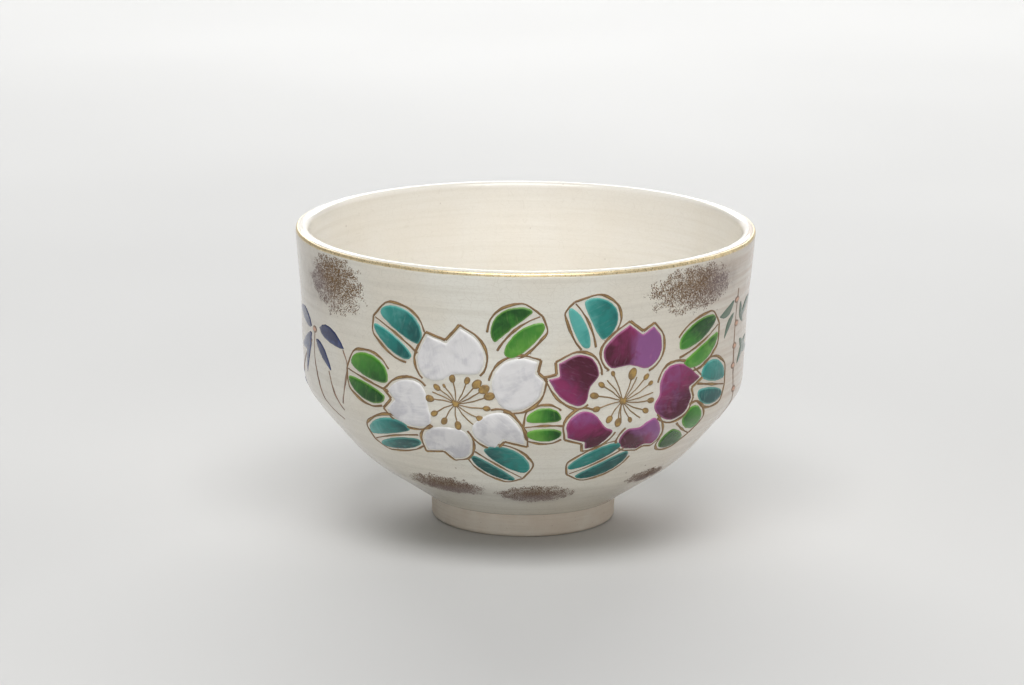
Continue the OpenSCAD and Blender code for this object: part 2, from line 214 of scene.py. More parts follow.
def set_values(obj, name, values):
    """Stores one number or one vector for each corner, for the material to read."""
    values = np.asarray(values, dtype=float)
    kind = "FLOAT" if values.ndim == 1 else "FLOAT_VECTOR"
    field = "value" if values.ndim == 1 else "vector"
    attribute = obj.data.attributes.new(name, kind, "POINT")
    attribute.data.foreach_set(field, values.reshape(-1))


# ---------------------------------------------------------------- materials


def srgb(red, green, blue):
    """A colour as given, from 0 to 255, in the renderer's own units."""
    share = [c / 255 for c in (red, green, blue)]
    linear = [c / 12.92 if c <= 0.04045 else ((c + 0.055) / 1.055) ** 2.4 for c in share]
    return (*linear, 1)


class Finish:
    """A material under construction, with short calls for the nodes that it uses."""

    def __init__(self, name, roughness, coat=0.0, metallic=0.0):
        self.material = bpy.data.materials.new(name)
        self.material.use_nodes = True
        self.tree = self.material.node_tree
        self.shader = self.tree.nodes["Principled BSDF"]
        self.shader.inputs["Roughness"].default_value = roughness
        self.shader.inputs["Metallic"].default_value = metallic
        self.shader.inputs["IOR"].default_value = 1.5
        self.shader.inputs["Coat Weight"].default_value = coat
        self.shader.inputs["Coat Roughness"].default_value = 0.08
        self.place = self.add("ShaderNodeTexCoord").outputs["Object"]

    def add(self, kind, inputs=(), **settings):
        """A node with its settings, and its inputs as numbers, colours or other nodes' outputs."""
        made = self.tree.nodes.new(kind)
        for key, value in settings.items():
            setattr(made, key, value)
        for key, value in dict(inputs).items():
            self.put(made.inputs[key], value)
        return made

    def put(self, socket, value):
        """Links another node's output to a socket, or sets the socket to a number or a colour."""
        if isinstance(value, bpy.types.NodeSocket):
            self.tree.links.new(value, socket)
        else:
            socket.default_value = value

    def stretched(self, factors, place=None):
        """The place with each axis scaled, so that what is drawn by it is drawn out or squeezed."""
        inputs = {"Vector": place or self.place, "Scale": factors}
        return self.add("ShaderNodeMapping", inputs).outputs["Vector"]

    def cloud(self, size_mm, detail=3.0, rough=0.55, place=None, distortion=0.0):
        """Soft random patches about size_mm across, from 0 to 1."""
        inputs = {"Vector": place or self.place, "Scale": 1000 / size_mm, "Detail": detail,
                  "Roughness": rough, "Distortion": distortion}
        return self.add("ShaderNodeTexNoise", inputs).outputs["Fac"]

    def value(self, name):
        """One of the piece's own numbers."""
        return self.add("ShaderNodeAttribute", attribute_name=name).outputs["Fac"]

    def vector(self, name):
        """One of the piece's own vectors."""
        return self.add("ShaderNodeAttribute", attribute_name=name).outputs["Vector"]

    def between(self, value, low, high, to_low=0.0, to_high=1.0):
        """value moved from one range to another, and kept inside it."""
        inputs = {"Value": value, "From Min": low, "From Max": high, "To Min": to_low, "To Max": to_high}
        return self.add("ShaderNodeMapRange", inputs, interpolation_type="SMOOTHSTEP").outputs["Result"]

    def maths(self, operation, a, b=0.0):
        return self.add("ShaderNodeMath", {0: a, 1: b}, operation=operation).outputs["Value"]

    def mix(self, share, a, b):
        """Colour a, with a share of colour b from 0 to 1."""
        made = self.add("ShaderNodeMix", data_type="RGBA")
        self.put(made.inputs["Factor"], share)
        self.put(made.inputs[6], a)
        self.put(made.inputs[7], b)
        return made.outputs[2]

    def cells(self, size_mm, feature="F1"):
        """How far it is to the nearest of random points size_mm apart, or to the edge between them."""
        inputs = {"Vector": self.place, "Scale": 1000 / size_mm}
        return self.add("ShaderNodeTexVoronoi", inputs, feature=feature).outputs["Distance"]

    def colour(self, value):
        self.put(self.shader.inputs["Base Color"], value)

    def roughness(self, value):
        self.put(self.shader.inputs["Roughness"], value)

    def relief(self, *layers):
        """Fine relief: layers of (height from 0 to 1, depth in mm)."""
        normal = None
        for height, depth_mm in layers:
            inputs = {"Height": height, "Distance": depth_mm * MM, "Strength": 1.0}
            if normal is not None:
                inputs["Normal"] = normal
            normal = self.add("ShaderNodeBump", inputs).outputs["Normal"]
        self.put(self.shader.inputs["Normal"], normal)


def glaze_finish(name, base, warm, shade, marks):
    """Cream glaze: soft colour drifts, thin turning lines, and faint crazing and a few iron specks as
    strong as marks, from 0 to 1. The piece's own values say where dusted gold has hazed it and where
    the fire blushed it."""
    f = Finish(name, roughness=0.2, coat=0.35)
    lines = f.cloud(2.2, 4, 0.6, f.stretched((0.05, 0.05, 1.6)))
    drift = f.cloud(26, 2, 0.5)
    fine = f.cloud(0.55, 2, 0.6, f.stretched((0.6, 0.6, 1.5)))
    colour = f.mix(f.between(drift, 0.35, 0.68), base, warm)
    colour = f.mix(f.between(lines, 0.4, 0.72, 0, 0.4), colour, shade)
    colour = f.mix(f.between(fine, 0.48, 0.75, 0, 0.22), colour, shade)
    crazing = f.between(f.cells(1.7, "DISTANCE_TO_EDGE"), 0.0, 0.035, 0.3 * marks, 0)
    colour = f.mix(crazing, colour, srgb(176, 164, 144))
    blush = f.maths("MULTIPLY", f.value("blush"), f.between(lines, 0.3, 0.7, 0.5, 1))
    colour = f.mix(blush, colour, srgb(206, 180, 160))
    haze = f.maths("MULTIPLY", f.value("haze"), f.between(f.cloud(3.5, 4, 0.7), 0.3, 0.7, 0.5, 1))
    colour = f.mix(haze, colour, srgb(138, 120, 114))
    specks = f.maths("MULTIPLY", f.between(f.cells(4.2), 0.075, 0.045), f.between(f.cloud(9, 1), 0.52, 0.6))
    f.colour(f.mix(f.maths("MULTIPLY", specks, marks), colour, srgb(112, 84, 60)))
    f.roughness(f.between(fine, 0.3, 0.7, 0.14, 0.26))
    f.relief((lines, 0.05), (f.cloud(1.6, 3), 0.03), (fine, 0.012))
    return f.material


def clay_finish():
    """Bare fired clay: matt pinkish cream with fine grain, turning lines and a few dark grains."""
    f = Finish("bare_clay", roughness=0.8)
    f.shader.inputs["Specular IOR Level"].default_value = 0.25
    grain = f.cloud(0.35, 4, 0.7)
    lines = f.cloud(0.7, 3, 0.6, f.stretched((0.06, 0.06, 1)))
    colour = f.mix(f.between(f.cloud(9, 3), 0.35, 0.65), srgb(238, 229, 215), srgb(230, 217, 201))
    colour = f.mix(f.between(lines, 0.45, 0.75, 0, 0.3), colour, srgb(212, 197, 178))
    colour = f.mix(f.between(f.cells(1.3), 0.1, 0.05, 0, 0.55), colour, srgb(160, 138, 116))
    f.colour(f.mix(f.between(grain, 0.45, 0.8, 0, 0.3), colour, srgb(243, 237, 226)))
    f.roughness(f.between(grain, 0.3, 0.7, 0.7, 0.9))
    f.relief((grain, 0.05), (lines, 0.06))
    return f.material


def gold_finish(name, light, dark, roughness, metallic, thick_mm=0.0):
    """Fired gold over glaze, patchy in tone. Where thick_mm is given, the gold is dark nearer than that
    to the edge of its own piece, where it lies thin."""
    f = Finish(name, roughness=roughness, metallic=metallic)
    patches = f.cloud(1.8, 4, 0.65)
    colour = f.mix(f.between(patches, 0.62, 0.36), light, dark)
    if thick_mm:
        colour = f.mix(f.between(f.value("edge"), 0.4 * thick_mm, thick_mm), dark, colour)
    f.colour(colour)
    f.roughness(f.between(f.cloud(0.4, 3, 0.6), 0.3, 0.7, roughness * 0.8, roughness * 1.5))
    f.relief((f.cloud(0.5, 3, 0.6), 0.004), (patches, 0.008))
    return f.material


def enamel_finish(name, edge_and_glint_colour, full, deep, second, streak_mm=1.1, relief_mm=0.05):
    """Overglaze enamel as coloured glass: at its edge and in painted highlights the first colour, deep
    where it pools, streaked along the brush. The piece's own values say where the painter laid it dark or
    in a second colour, and on the white petals where their lower side is darker as painted shade."""
    f = Finish(name, roughness=0.18, coat=0.2)
    f.shader.inputs["Specular IOR Level"].default_value = 0.35
    brush = f.vector("brush")
    streaks = f.cloud(streak_mm, 4, 0.6, f.stretched((1, 0.22, 1), brush), 0.4)
    pools = f.cloud(4.5, 3, 0.55, brush, 0.6)
    fine = f.cloud(0.45, 3, 0.6)
    # dark: laid dark by the painter, and on the white petals painted shade on their lower side
    dark = f.maths("ADD", f.value("dark"), f.between(pools, 0.3, 0.7, -0.22, 0.26))
    dark = f.maths("ADD", dark, f.between(streaks, 0.3, 0.7, -0.12, 0.14))
    colour = f.mix(f.between(dark, 0.0, 1.0), full, deep)
    wash = f.maths("ADD", f.value("second"), f.between(pools, 0.3, 0.7, -0.2, 0.2))
    colour = f.mix(f.between(wash, 0.2, 0.95), colour, second)
    # Pale streaks in the first colour: painted highlights, as glassy enamel catches the light
    painted_glints = f.between(streaks, 0.52, 0.78, 0, 0.3)
    colour = f.mix(painted_glints, colour, edge_and_glint_colour)
    edge = f.between(f.value("edge"), 0.05, 0.6, 0.65, 0)
    f.colour(f.mix(edge, colour, edge_and_glint_colour))
    f.roughness(f.between(fine, 0.3, 0.7, 0.1, 0.22))
    f.relief((streaks, relief_mm), (fine, 0.01))
    return f.material


def dust_finish():
    """Dusted gold: each grain a little browner or brighter than the next."""
    f = Finish("dusted_gold", roughness=0.5, metallic=0.2)
    colour = f.mix(f.value("tone"), srgb(98, 72, 46), srgb(154, 122, 80))
    f.colour(f.mix(f.value("cool"), colour, srgb(128, 110, 108)))
    f.roughness(f.between(f.cloud(0.3, 2), 0.3, 0.7, 0.4, 0.65))
    return f.material


def line_finish():
    """Thin brown overglaze line, with pinkish joints where the brush was pressed."""
    f = Finish("brown_line", roughness=0.35)
    patches = f.cloud(2.4, 3, 0.6)
    colour = f.mix(f.between(patches, 0.35, 0.65), srgb(120, 92, 74), srgb(156, 124, 100))
    f.colour(f.mix(f.between(f.value("edge"), 0.35, 0.6), colour, srgb(222, 172, 142)))
    f.relief((f.cloud(0.6, 3), 0.015))
    return f.material


def floor_finish():
    """Plain pale matt floor with a hardly visible drift in tone."""
    f = Finish("pale_floor", roughness=0.75)
    f.shader.inputs["Specular IOR Level"].default_value = 0.2
    f.colour(f.mix(f.between(f.cloud(400, 2), 0.3, 0.7), srgb(202, 202, 201), srgb(208, 208, 207)))
    return f.material


cream = glaze_finish("cream_glaze", srgb(240, 238, 228), srgb(236, 230, 216), srgb(214, 209, 195), 0.6)
ivory = glaze_finish("ivory_glaze", srgb(246, 243, 236), srgb(243, 238, 228), srgb(235, 230, 219), 0.3)
clay = clay_finish()
rim_gold = gold_finish("rim_gold", srgb(240, 222, 182), srgb(226, 204, 158), 0.3, 0.55)
line_gold = gold_finish("line_gold", srgb(190, 158, 102), srgb(138, 110, 78), 0.42, 0.25, 0.4)
dab_gold = gold_finish("dab_gold", srgb(192, 158, 94), srgb(146, 120, 82), 0.38, 0.3, 0.42)
dust_gold = dust_finish()
brown = line_finish()
white = enamel_finish("white_enamel", srgb(251, 250, 250), srgb(236, 235, 236), srgb(184, 184, 192),
                      srgb(208, 207, 212), 0.9, 0.12)
purple = enamel_finish("purple_enamel", srgb(192, 118, 162), srgb(140, 42, 94), srgb(80, 12, 42),
                       srgb(146, 86, 144))
green = enamel_finish("green_enamel", srgb(140, 190, 98), srgb(62, 138, 42), srgb(10, 76, 14),
                      srgb(104, 168, 64))
teal = enamel_finish("teal_enamel", srgb(128, 202, 192), srgb(30, 138, 130), srgb(4, 84, 82),
                     srgb(92, 182, 174))
slate = enamel_finish("slate_enamel", srgb(60, 66, 102), srgb(76, 92, 142), srgb(42, 50, 90),
                      srgb(112, 126, 166))
sage = enamel_finish("sage_enamel", srgb(96, 116, 102), srgb(112, 134, 114), srgb(70, 94, 80),
                     srgb(134, 150, 128))

# ---------------------------------------------------------------- the wall unrolled


def unrolled(points):
    """Places on the wall as [along the girth, up the wall]."""
    turn = np.arctan2(points[:, 0], -points[:, 1])
    section = np.stack([np.hypot(points[:, 0], points[:, 1]), points[:, 2]], 1)
    near = np.empty(len(points))
    for i, p in enumerate(section):
        k = int(np.argmin(((wall - p) ** 2).sum(1)))
        way = np.array([-wall_side[k, 1], wall_side[k, 0]])
        near[i] = wall_s[k] + (p - wall[k]) @ way
    return np.stack([turn * GIRTH_R, near], 1)


def rolled(flat, lift):
    """Puts [along, up] places back on the wall, lifted off it."""
    spot = np.stack([np.interp(flat[:, 1], wall_s, wall[:, k]) for k in (0, 1)], 1)
    side = np.stack([np.interp(flat[:, 1], wall_s, wall_side[:, k]) for k in (0, 1)], 1)
    spot = spot + side * np.asarray(lift)[:, None]
    turn = flat[:, 0] / GIRTH_R
    return thrown(np.stack([spot[:, 0] * np.sin(turn), -spot[:, 0] * np.cos(turn), spot[:, 1]], 1))


def open_edges(faces):
    """Edges that only one face uses, in that face's own order."""
    found = {}
    for face in faces:
        for a, b in zip(face, face[1:] + face[:1]):
            if (b, a) in found:
                del found[(b, a)]
            else:
                found[(a, b)] = True
    return list(found)


def chained(edges):
    """Edges strung together into closed chains of corner numbers."""
    onward = {}
    for start, end in edges:
        onward.setdefault(start, []).append(end)
    chains = []
    while onward:
        start = next(iter(onward))
        chain = [start]
        while True:
            ends = onward[chain[-1]]
            following = ends.pop()
            if not ends:
                del onward[chain[-1]]
            if following == start or following not in onward:
                break
            chain.append(following)
        chains.append(chain)
    return chains


def outlines(name):
    """The closed outlines of a painted node, unrolled: the rims of its outward faces."""
    points = vertices_of(name)
    keys = np.round(points / (0.002 * MM)).astype(int)
    merged, index = np.unique(keys, axis=0, return_inverse=True)
    index = index.reshape(-1)
    spots = np.zeros((len(merged), 3))
    spots[index] = points
    faces = index[triangles_of(name)]
    a, b, c = (spots[faces[:, k]] for k in range(3))
    normal = np.cross(b - a, c - a)
    size = np.linalg.norm(normal, axis=1)
    middle = unrolled((a + b + c) / 3)
    lean = np.stack([np.interp(middle[:, 1], wall_s, wall_side[:, k]) for k in (0, 1)], 1)
    turn = middle[:, 0] / GIRTH_R
    outwards = np.stack([lean[:, 0] * np.sin(turn), -lean[:, 0] * np.cos(turn), lean[:, 1]], 1)
    facing = (normal * outwards).sum(1) > 0.7 * size
    rims = chained(open_edges([tuple(face) for face in faces[facing & (size > 0)]]))
    flat = unrolled(spots)
    return [flat[rim] for rim in rims if len(rim) > 3]


# How far a painted piece's rim and its base are sunk in the glaze, so that no gap shows under it
RIM_SUNK = 0.02 * MM
BASE_SUNK = 0.12 * MM


# Blender starts this noise from the clock, so it is given a start of its own here (never 0, which means
# the clock again), and every run draws the same unsteady edges
EDGE_SEED = 1
noise.seed_set(EDGE_SEED)


def softened(loop, spacing, jitter):
    """A loop with rounded corners, at even spacing, its edge a little unsteady as a brush leaves it."""
    for _ in range(2):
        after = np.roll(loop, -1, axis=0)
        loop = np.stack([0.78 * loop + 0.22 * after, 0.22 * loop + 0.78 * after], 1).reshape(-1, 2)
    closed = np.vstack([loop, loop[:1]])
    points = evened(closed, spacing)[:-1]
    for p in points:
        wave = noise.noise_vector(Vector((p[0] * 700, p[1] * 700, 0)))
        p += jitter * np.array([wave.x, wave.y])
    return points


def inside_loops(points, loops):
    """Which points lie inside the loops, counting crossings."""
    odd = np.zeros(len(points), bool)
    for loop in loops:
        start, end = loop, np.roll(loop, -1, axis=0)
        for a, b in zip(start, end):
            spans = (a[1] > points[:, 1]) != (b[1] > points[:, 1])
            if spans.any():
                cross = (b[0] - a[0]) * (points[:, 1] - a[1]) / (b[1] - a[1] + 1e-30) + a[0]
                odd ^= spans & (points[:, 0] < cross)
    return odd


def edge_distance(points, loops):
    """How far each point is from the nearest outline."""
    nearest = np.full(len(points), np.inf)
    for loop in loops:
        for a, b in zip(loop, np.roll(loop, -1, axis=0)):
            way = b - a
            share = np.clip(((points - a) @ way) / (way @ way + 1e-30), 0, 1)
            nearest = np.minimum(nearest, np.hypot(*(points - a - share[:, None] * way).T))
    return nearest


def staggered(low, high, spacing):
    """Points in even rows over a box, each row shifted by half a step, so that they lie in triangles."""
    rows = []
    for k, up in enumerate(np.arange(low[1], high[1], spacing * 0.87)):
        along = np.arange(low[0] + (k % 2) * spacing / 2, high[0], spacing)
        rows.append(np.stack([along, np.full(len(along), up)], 1))
    return np.concatenate(rows)


def raised(node_name, material, thick, shoulder, spacing, jitter, lumps):
    """A painted node as one closed piece: flat below, rounded up from its outline to its thickness."""
    loops = [softened(loop, spacing, jitter) for loop in outlines(node_name)]
    rim = np.concatenate(loops)
    grid = staggered(rim.min(0), rim.max(0), spacing)
    grid = grid[inside_loops(grid, loops)]
    grid = grid[edge_distance(grid, loops) > 0.45 * spacing]
    starts = np.cumsum([0] + [len(loop) for loop in loops[:-1]])
    rim_edges = [(s + i, s + (i + 1) % len(loop))
                 for s, loop in zip(starts, loops) for i in range(len(loop))]

    def filled(points):
        """Triangles inside the outlines, and the places that they use."""
        made = delaunay_2d_cdt([Vector(p) * 1000 for p in points], rim_edges, [], 4, 1e-7)
        return np.array([tuple(v) for v in made[0]]) / 1000, [tuple(f) for f in made[2]]

    top, top_faces = filled(np.concatenate([rim, grid]))
    base, base_faces = filled(rim)
    edge = edge_distance(top, loops)
    edge[edge < 0.01 * spacing] = 0
    dome = np.sqrt(1 - (1 - np.clip(edge / shoulder, 0, 1)) ** 2)
    bumps = np.array([noise.noise(Vector((p[0] * 520, p[1] * 520, 3.7))) for p in top])
    lift = thick * dome * (1 + lumps * bumps) - RIM_SUNK
    points = np.concatenate([rolled(top, lift), rolled(base, np.full(len(base), -BASE_SUNK))])
    shift = len(top)
    faces = upright(top, top_faces)
    faces += [tuple(reversed([i + shift for i in face])) for face in upright(base, base_faces)]
    base_at = {tuple(np.round(p * 1e8).astype(int)): i + shift for i, p in enumerate(base)}
    for a, b in open_edges(faces[:len(top_faces)]):
        ends = [base_at.get(tuple(np.round(top[i] * 1e8).astype(int))) for i in (a, b)]
        if None not in ends:
            faces.append((b, a, ends[0], ends[1]))
    obj = finish_piece(node_name + "_fired", points, faces, material, node_name)
    flat = np.concatenate([top, base])
    set_values(obj, "edge", np.concatenate([edge, np.zeros(len(base))]) / MM)
    return obj, flat


def upright(points, faces):
    """Faces turned so that they run round to the left, seen from outside."""
    turned_faces = []
    for face in faces:
        a, b, c = points[list(face[:3])]
        area = (b[0] - a[0]) * (c[1] - a[1]) - (b[1] - a[1]) * (c[0] - a[0])
        turned_faces.append(tuple(face) if area > 0 else tuple(reversed(face)))
    return turned_faces


# ---------------------------------------------------------------- the pot

AROUND = 420
shell_back = wall - wall_side * GLAZE_T
bead = np.exp(-wall_s / (1.2 * MM))[:, None] * 0.18 * MM
outer_section = np.concatenate([
    (wall + wall_side * bead)[1:], arc(LIP, LIP_R, 3, 90, 9), arc(LIP, LIP_R - GLAZE_T, 90, 5, 5),
    shell_back[::-6], [wall[0] - wall_side[0] * 0.5 * GLAZE_T]])
outer_piece = turned("outer_glaze_fired", outer_section, AROUND, cream, "outer_glaze")

inner_back = inside + inside_side * GLAZE_T
inner_section = np.concatenate([
    inside, arc(LIP, LIP_R, 176, 90, 9), arc(LIP, LIP_R - GLAZE_T, 90, 172, 5), inner_back[::-5],
    [(0, inside[0][1] - GLAZE_T)]])
inner_section[0][0] = 0
inner_piece = turned("inner_glaze_fired", inner_section, 380, ivory, "inner_glaze")

foot = vertices_of("foot_ring")
foot_r = np.hypot(foot[:, 0], foot[:, 1])
foot_top = foot[:, 2].max()
FOOT_OUT = foot_r.max()
FOOT_IN = foot_r.min()
EDGE = 1.1 * MM
sole_r = foot_r[foot[:, 2] < 0.01 * MM]
flat_in = sole_r.min()
flat_out = sole_r.max()
foot_section = np.concatenate([
    np.linspace((FOOT_IN, foot_top), (flat_in - EDGE * 0.6, EDGE), 10),
    arc((flat_in + EDGE * 0.4, EDGE), EDGE, 184, 270, 8),
    arc((flat_out - EDGE * 0.2, EDGE), EDGE, 270, 356, 8),
    np.linspace((FOOT_OUT - 0.3 * MM, 1.6 * EDGE), (FOOT_OUT, foot_top), 10)])
turned("foot_ring_fired", evened(foot_section, 0.3 * MM), 320, clay, "foot_ring")

# The underside inside the foot: a low knob in the middle and the trimming tool's spiral around it
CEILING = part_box("clay_body")[0][2]
hollow = np.array([(r, CEILING - 0.5 * MM * math.exp(-(r / (3.2 * MM)) ** 2)
                    + 0.10 * MM * math.sin(TURN * r / (1.7 * MM)) * min(1, r / (4 * MM)))
                   for r in np.linspace(0, FOOT_IN, 90)])
clay_section = np.concatenate([
    hollow, [(FOOT_IN, foot_top), (FOOT_OUT, foot_top)], (wall - wall_side * 0.9 * GLAZE_T)[2::4],
    arc(LIP, LIP_R - 1.1 * GLAZE_T, 8, 172, 9), (inside + inside_side * 0.9 * GLAZE_T)[::-4],
    [(0, inside[0][1] - 0.9 * GLAZE_T)]])
turned("clay_body_fired", clay_section, 200, clay, "clay_body")


def band_edges(turn):
    """The band's two edges waver as it is turned past the brush."""
    sway = 3 * math.sin(3 * turn + 0.4) + 2 * math.sin(8 * turn + 1.1) + 1.5 * math.sin(19 * turn)
    return np.radians(14 + 0.6 * sway), np.radians(50 + sway)


BAND_ROWS = 14
BAND_T = 0.13 * MM


def band_section(turn):
    """The band's closed section at a turn: swelled towards its middle in front, sunk a little behind."""
    low, high = band_edges(turn)
    turns = np.linspace(low, high, BAND_ROWS)
    swell = BAND_T * np.sqrt(np.clip(np.sin(np.linspace(0, math.pi, BAND_ROWS)), 0, 1))
    ways = np.stack([np.cos(turns), np.sin(turns)], 1)
    front = np.array(LIP) + ways * (LIP_R - 0.01 * MM + swell)[:, None]
    back = np.array(LIP) + ways[::-1] * (LIP_R - 0.08 * MM)
    return np.concatenate([front, back])


band_start = band_section(0)
turned("rim_gold_band_fired", band_start, 720, rim_gold, "rim_gold_band",
       lambda turn: band_section(turn) - band_start)

# ---------------------------------------------------------------- the painting


def middle_of(name):
    """The middle of a painted node on the unrolled wall."""
    flat = unrolled(vertices_of(name))
    return (flat.min(0) + flat.max(0)) / 2


def paint_values(obj, flat, way, dark_and_shade_way_deg, dark, second_way_deg, second):
    """Stores the brush's direction, where the colour is dark (laid dark by the painter, and on the white
    petals painted shade on their lower side) and where it is in its second hue: each a way across the field
    in degrees, and how strongly it changes along that way."""
    middle = (flat.min(0) + flat.max(0)) / 2
    size = np.linalg.norm(flat.max(0) - flat.min(0)) / 2
    part = (flat - middle) / size
    side = np.array([way[1], -way[0]])
    seed = middle.sum() * 50
    set_values(obj, "brush", np.stack([flat @ side, flat @ way, np.full(len(flat), seed)], 1))

    def slope(degrees, amount):
        turn = math.radians(degrees)
        return 0.5 + 1.3 * amount * (part @ np.array([math.cos(turn), math.sin(turn)]))

    set_values(obj, "dark", slope(dark_and_shade_way_deg, dark[0]) * dark[1])
    set_values(obj, "second", slope(second_way_deg, second[0]) * second[1])


# Petals and leaves: way that the colour darkens, (how fast, how much), and the same for the second hue;
# the white petals darken downwards as painted shade
PETAL_TONES_AND_SHADE = {
    # White petals: darker towards their lower side, painted shade
    "white_petal_top": (-90, (0.3, 0.3), 180, (0.3, 0.4)),
    "white_petal_right": (-45, (0.4, 0.25), 90, (0.3, 0.3)),
    "white_petal_low_right": (-90, (0.5, 0.4), 0, (0.3, 0.4)),
    "white_petal_bottom": (-90, (0.6, 0.6), 0, (0.3, 0.7)),
    "white_petal_left": (-90, (0.5, 0.4), 160, (0.4, 0.5)),
    "purple_petal_top": (-120, (0.7, 0.9), 0, (1.5, 1.15)),
    "purple_petal_right": (-70, (0.9, 1.0), 150, (0.6, 0.55)),
    "purple_petal_low_right": (200, (0.8, 1.25), 60, (1.3, 0.9)),
    "purple_petal_low_left": (-70, (1.1, 0.9), 130, (0.7, 0.5)),
    "purple_petal_left": (45, (0.8, 1.2), 200, (0.6, 0.5)),
}
LEAF_TONES = {
    "green_leaf_left": (-60, (0.5, 1.2), 120, (0.6, 0.5)),
    "green_leaf_top": (120, (0.8, 0.7), -60, (0.8, 0.7)),
    "green_leaf_middle": (10, (0.8, 0.7), 190, (0.9, 0.8)),
    "green_leaf_upper_right": (60, (1.0, 1.1), -70, (0.7, 0.7)),
    "green_leaf_low_right": (200, (0.5, 1.1), 40, (0.5, 0.4)),
    "teal_leaf_upper_left": (-20, (0.6, 0.9), 140, (0.7, 0.6)),
    "teal_leaf_low_left": (-30, (0.8, 1.2), 150, (0.6, 0.5)),
    "teal_leaf_top": (10, (0.4, 0.4), 180, (0.9, 1.0)),
    "teal_leaf_bottom": (200, (0.7, 1.3), 60, (0.4, 0.3)),
    "teal_leaf_low_middle": (-40, (0.6, 1.3), 120, (0.4, 0.3)),
    "teal_leaf_right": (-80, (0.7, 1.2), 60, (0.6, 0.5)),
}
ENAMELS = {"white": white, "purple": purple, "green": green, "teal": teal}
ENAMEL_T = 0.36 * MM
GOLD_T = 0.17 * MM
FIELD_SPACING = 0.3 * MM
LINE_SPACING = 0.17 * MM

for name, tones in PETAL_TONES_AND_SHADE.items():
    colour_name = name.split("_")[0]
    piece, flat = raised(name, ENAMELS[colour_name], ENAMEL_T, 1.0 * MM, FIELD_SPACING, 0.09 * MM, 0.16)
    away = (flat.min(0) + flat.max(0)) / 2 - middle_of(colour_name + "_flower_stamens")
    paint_values(piece, flat, away / np.linalg.norm(away), *tones)

for name, tones in LEAF_TONES.items():
    colour_name = name.split("_")[0]
    piece, flat = raised(name, ENAMELS[colour_name], ENAMEL_T, 1.1 * MM, FIELD_SPACING, 0.09 * MM, 0.12)
    spread = np.linalg.svd(flat - flat.mean(0), full_matrices=False)[2][0]
    paint_values(piece, flat, spread, *tones)

for name, material in (("blue_bamboo_leaves", slate), ("grey_bamboo_leaves", sage)):
    piece, flat = raised(name, material, 0.16 * MM, 0.9 * MM, FIELD_SPACING, 0.1 * MM, 0.1)
    paint_values(piece, flat, np.array([1.0, 0.0]), 60, (0.3, 0.9), 180, (0.3, 0.5))

for name in ("white_flower_outline", "purple_flower_outline", "green_leaf_outlines", "teal_leaf_outlines"):
    raised(name, line_gold, GOLD_T, 0.34 * MM, LINE_SPACING, 0.07 * MM, 0.3)

for name in ("white_flower_stamens", "purple_flower_stamens"):
    raised(name, dab_gold, GOLD_T * 1.5, 0.6 * MM, LINE_SPACING, 0.07 * MM, 0.25)

for name in ("blue_bamboo_stems", "grey_bamboo_stem"):
    raised(name, brown, 0.1 * MM, 0.3 * MM, LINE_SPACING, 0.08 * MM, 0.2)

# ---------------------------------------------------------------- dusted gold

# Clouds: where the gold lies thickest and where it only stained the glaze, as shares of the cloud's
# half lengths, how bright its grains are, and their number. The low clouds' grains are darker: browner
# dust, and painted shade of the lower wall
CLOUDS = {
    "gold_dust_upper_left": ((-0.1, 0.35), (-0.9, 0.0), 1.0, 5800),
    "gold_dust_upper_right": ((0.2, 0.25), (0.75, 0.2), 1.0, 5800),
    # Low clouds: darker grains, browner dust and painted shade of the lower wall
    "gold_dust_low_left": ((0.1, 0.1), (0.2, -0.3), 0.4, 6000),
    "gold_dust_low_middle": ((0.0, 0.1), (0.0, -0.3), 0.4, 6500),
    "gold_dust_low_right": ((0.1, 0.0), (0.2, -0.3), 0.4, 2300),
}
GRAIN_SIDES = 5


def cloud_box(name):
    """Middle and half lengths of a dusted cloud on the unrolled wall."""
    flat = unrolled(vertices_of(name))
    return (flat.min(0) + flat.max(0)) / 2, (flat.max(0) - flat.min(0)) / 2


